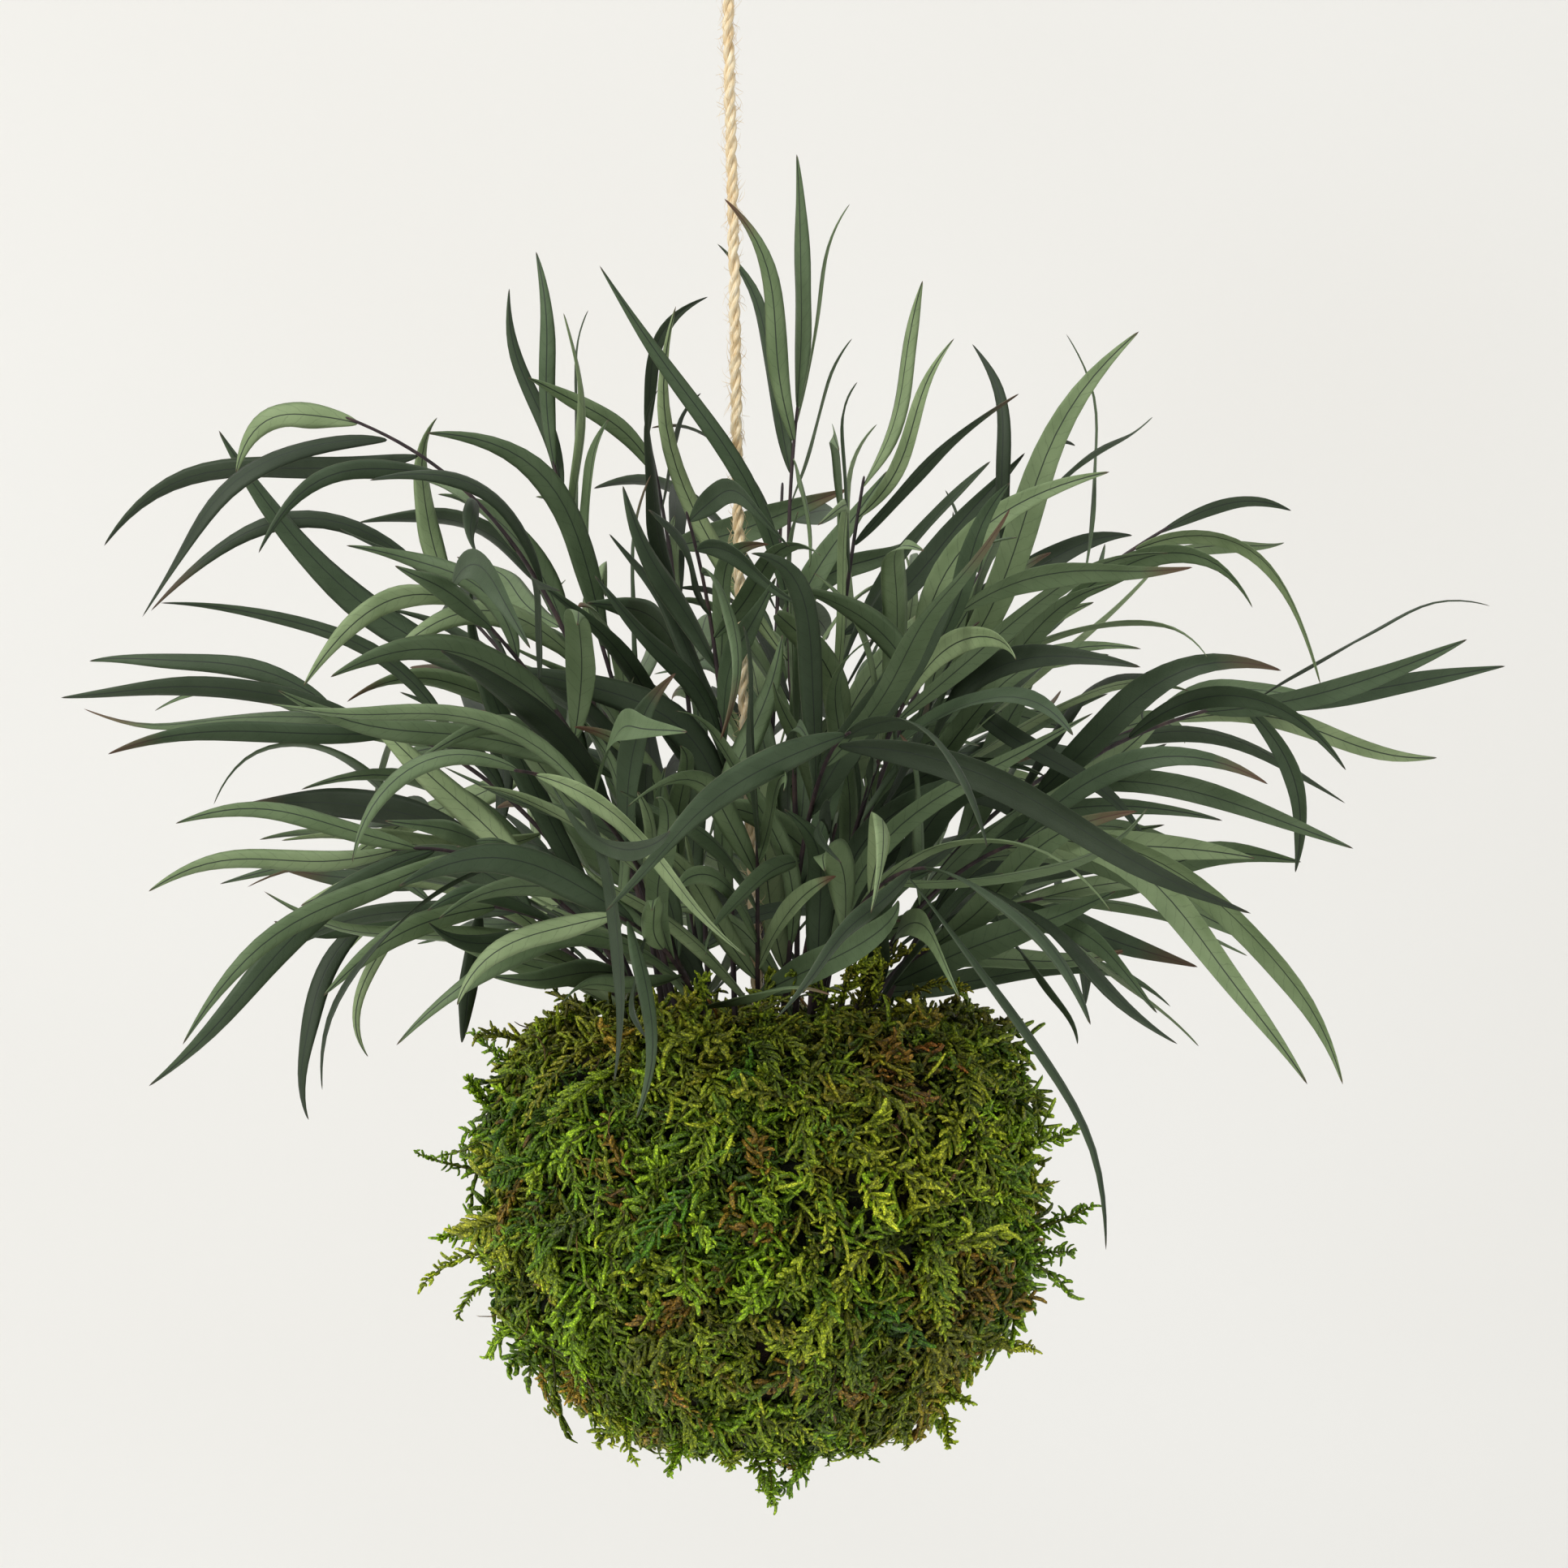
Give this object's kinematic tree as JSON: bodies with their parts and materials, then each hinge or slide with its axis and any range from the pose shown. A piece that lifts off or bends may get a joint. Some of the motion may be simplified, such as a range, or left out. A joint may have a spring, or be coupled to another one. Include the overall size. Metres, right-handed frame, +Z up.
{
  "type": "kokedama moss ball plant",
  "caption": "Kokedama: a feather-moss ball planted with a wide tuft of narrow-leaved willow-eucalyptus sprigs, with a jute hanging string that ends in a knot and loop.",
  "frame": {"origin": "centre of the small flat spot under the moss ball, on which it rests", "axes": "+Z up along the ball's axis; -Y is the front, +X is to the right seen from the front"},
  "size_m": [0.3596, 0.2828, 0.4018],
  "materials": {
    "foliage": "preserved eucalyptus leaves and twigs, matt grey-green with darker midribs",
    "moss": "living feather moss, bright to deep green with brown patches",
    "peat": "dark, crumbly peat mix",
    "jute": "natural twisted jute with loose fibres"
  },
  "bodies": {
    "root": {"hanging_loop": "jute", "hanging_string": "jute", "moss_cover": "moss", "root_ball": "peat", "sprig_back_high": "foliage", "sprig_back_left": "foliage", "sprig_back_left_high": "foliage", "sprig_back_low": "foliage", "sprig_back_low_left": "foliage", "sprig_back_low_right": "foliage", "sprig_back_mid": "foliage", "sprig_back_mid_left": "foliage", "sprig_back_mid_right": "foliage", "sprig_back_right": "foliage", "sprig_back_right_high": "foliage", "sprig_crown": "foliage", "sprig_far_right": "foliage", "sprig_front": "foliage", "sprig_front_left": "foliage", "sprig_front_low_left": "foliage", "sprig_front_low_right": "foliage", "sprig_front_mid": "foliage", "sprig_left_arch": "foliage", "sprig_left_back": "foliage", "sprig_left_drop": "foliage", "sprig_left_low": "foliage", "sprig_left_mid": "foliage", "sprig_low_front_left": "foliage", "sprig_low_left": "foliage", "sprig_low_right": "foliage", "sprig_mid_right": "foliage", "sprig_right_arch": "foliage", "sprig_right_low": "foliage", "sprig_short_back": "foliage", "sprig_short_left": "foliage", "sprig_short_middle": "foliage", "sprig_short_right": "foliage", "sprig_upper_left": "foliage", "sprig_upper_mid": "foliage", "sprig_upper_right": "foliage", "sprig_upper_right_mid": "foliage", "stopper_knot": "jute", "top_knot": "jute"}
  },
  "joints": []
}
